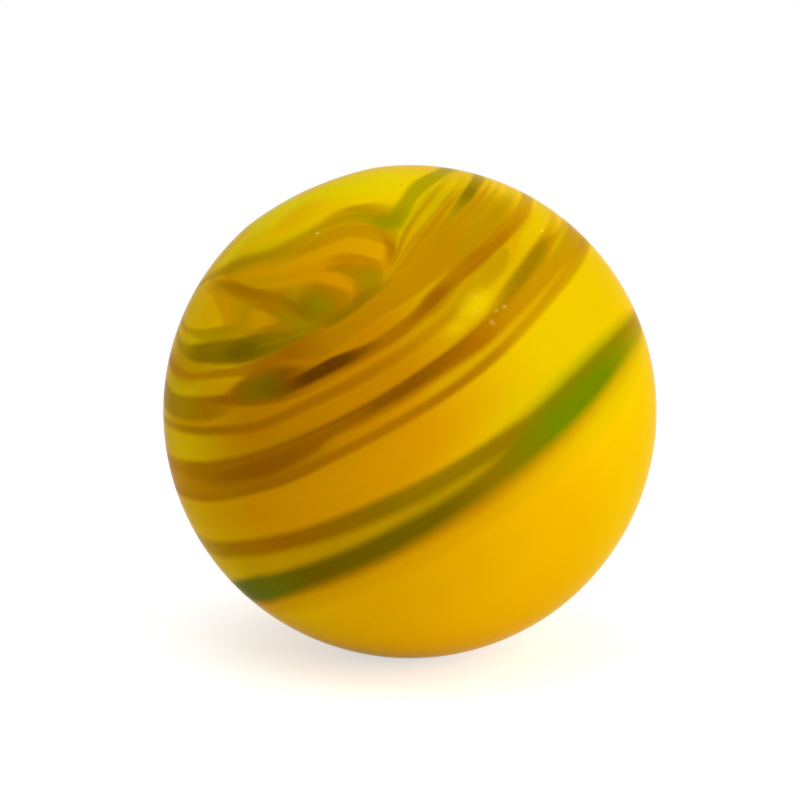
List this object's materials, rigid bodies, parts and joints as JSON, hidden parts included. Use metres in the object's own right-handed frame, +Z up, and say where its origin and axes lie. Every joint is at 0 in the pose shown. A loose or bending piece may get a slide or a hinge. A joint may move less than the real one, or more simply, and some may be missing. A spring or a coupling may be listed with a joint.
{
  "type": "glass marble",
  "caption": "Opaque yellow glass playing marble with a flush swirl of brown, olive and green streaks; rolls, or sits in a ring or cup.",
  "frame": {"origin": "centre of the ball", "axes": "+Z up, with the fold of the swirl on the upper left and +X to the right when seen from -Y"},
  "size_m": [0.016, 0.016, 0.016],
  "materials": {
    "swirl_glass": "gloss"
  },
  "bodies": {
    "root": {"marble": "swirl_glass"}
  },
  "joints": []
}
